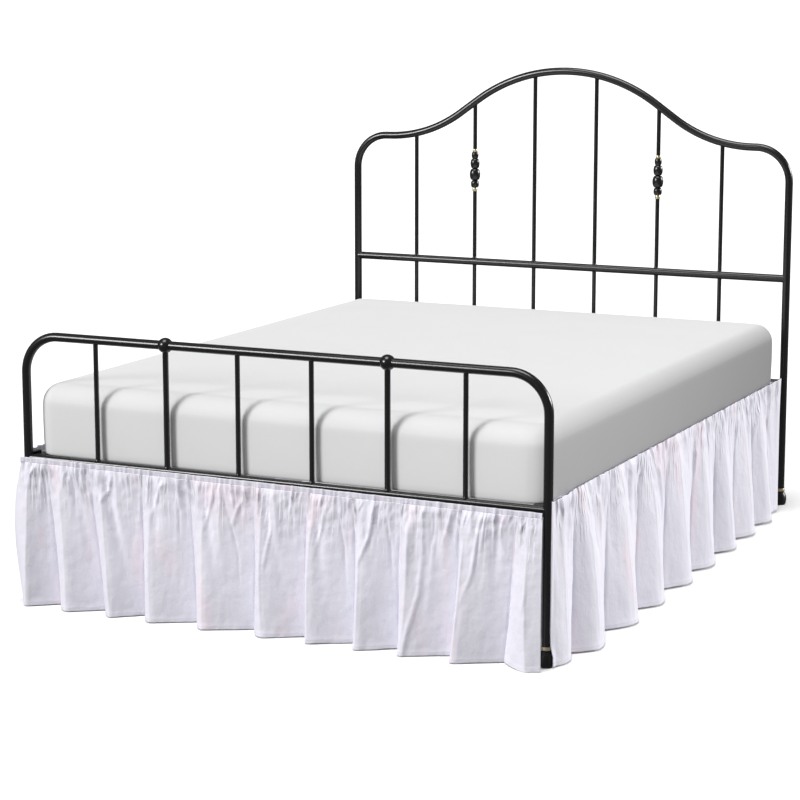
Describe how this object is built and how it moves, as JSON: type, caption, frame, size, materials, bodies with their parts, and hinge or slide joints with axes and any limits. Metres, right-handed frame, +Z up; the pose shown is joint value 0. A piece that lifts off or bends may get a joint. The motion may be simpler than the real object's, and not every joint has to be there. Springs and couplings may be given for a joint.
{
  "type": "bed skirt on a bed frame with a mattress",
  "caption": "White gathered bed skirt with split corners hanging round a black metal bed frame that carries a plain mattress; it hides the space under the bed.",
  "frame": {"origin": "on the floor, under the middle of the whole object's box", "axes": "+Y from the foot of the bed to the head, +X to the right of someone standing at the foot and facing the bed, +Z up"},
  "size_m": [1.6946, 2.1783, 1.4164],
  "materials": {
    "black_steel": "black powder coat, semi-gloss",
    "slat_steel": "black powder coat, matt",
    "black_plastic": "moulded, matt",
    "pale_gold": "satin, pale gold",
    "mattress_knit": "plain fine knit, light grey-white",
    "white_cotton": "plain weave, white with a cool cast"
  },
  "bodies": {
    "root": {"bracket_foot_left": "black_steel", "bracket_foot_right": "black_steel", "bracket_head_left": "black_steel", "bracket_head_right": "black_steel", "finial_ring_2_lower": "pale_gold", "finial_ring_2_upper": "pale_gold", "finial_ring_5_lower": "pale_gold", "finial_ring_5_upper": "pale_gold", "footboard_hoop": "black_steel", "footboard_knob_2": "black_steel", "footboard_knob_5": "black_steel", "footboard_rail": "black_steel", "footboard_spindle_1": "black_steel", "footboard_spindle_2": "black_steel", "footboard_spindle_3": "black_steel", "footboard_spindle_4": "black_steel", "footboard_spindle_5": "black_steel", "footboard_spindle_6": "black_steel", "glide_foot_left": "black_plastic", "glide_foot_right": "black_plastic", "glide_head_left": "black_plastic", "glide_head_right": "black_plastic", "headboard_finial_2": "black_steel", "headboard_finial_5": "black_steel", "headboard_hoop": "black_steel", "headboard_lower_rail": "black_steel", "headboard_rail": "black_steel", "headboard_spindle_1_lower": "black_steel", "headboard_spindle_1_upper": "black_steel", "headboard_spindle_2_lower": "black_steel", "headboard_spindle_2_upper": "black_steel", "headboard_spindle_3_lower": "black_steel", "headboard_spindle_3_upper": "black_steel", "headboard_spindle_4_lower": "black_steel", "headboard_spindle_4_upper": "black_steel", "headboard_spindle_5_lower": "black_steel", "headboard_spindle_5_upper": "black_steel", "headboard_spindle_6_lower": "black_steel", "headboard_spindle_6_upper": "black_steel", "heading_foot": "white_cotton", "heading_left": "white_cotton", "heading_right": "white_cotton", "leg_ring_foot_left": "pale_gold", "leg_ring_foot_right": "pale_gold", "leg_ring_head_left": "pale_gold", "leg_ring_head_right": "pale_gold", "mattress": "mattress_knit", "ruffle_foot": "white_cotton", "ruffle_left": "white_cotton", "ruffle_right": "white_cotton", "side_rail_left": "black_steel", "side_rail_right": "black_steel", "slat_1": "slat_steel", "slat_2": "slat_steel", "slat_3": "slat_steel", "slat_4": "slat_steel", "slat_5": "slat_steel", "slat_6": "slat_steel", "slat_7": "slat_steel"}
  },
  "joints": []
}
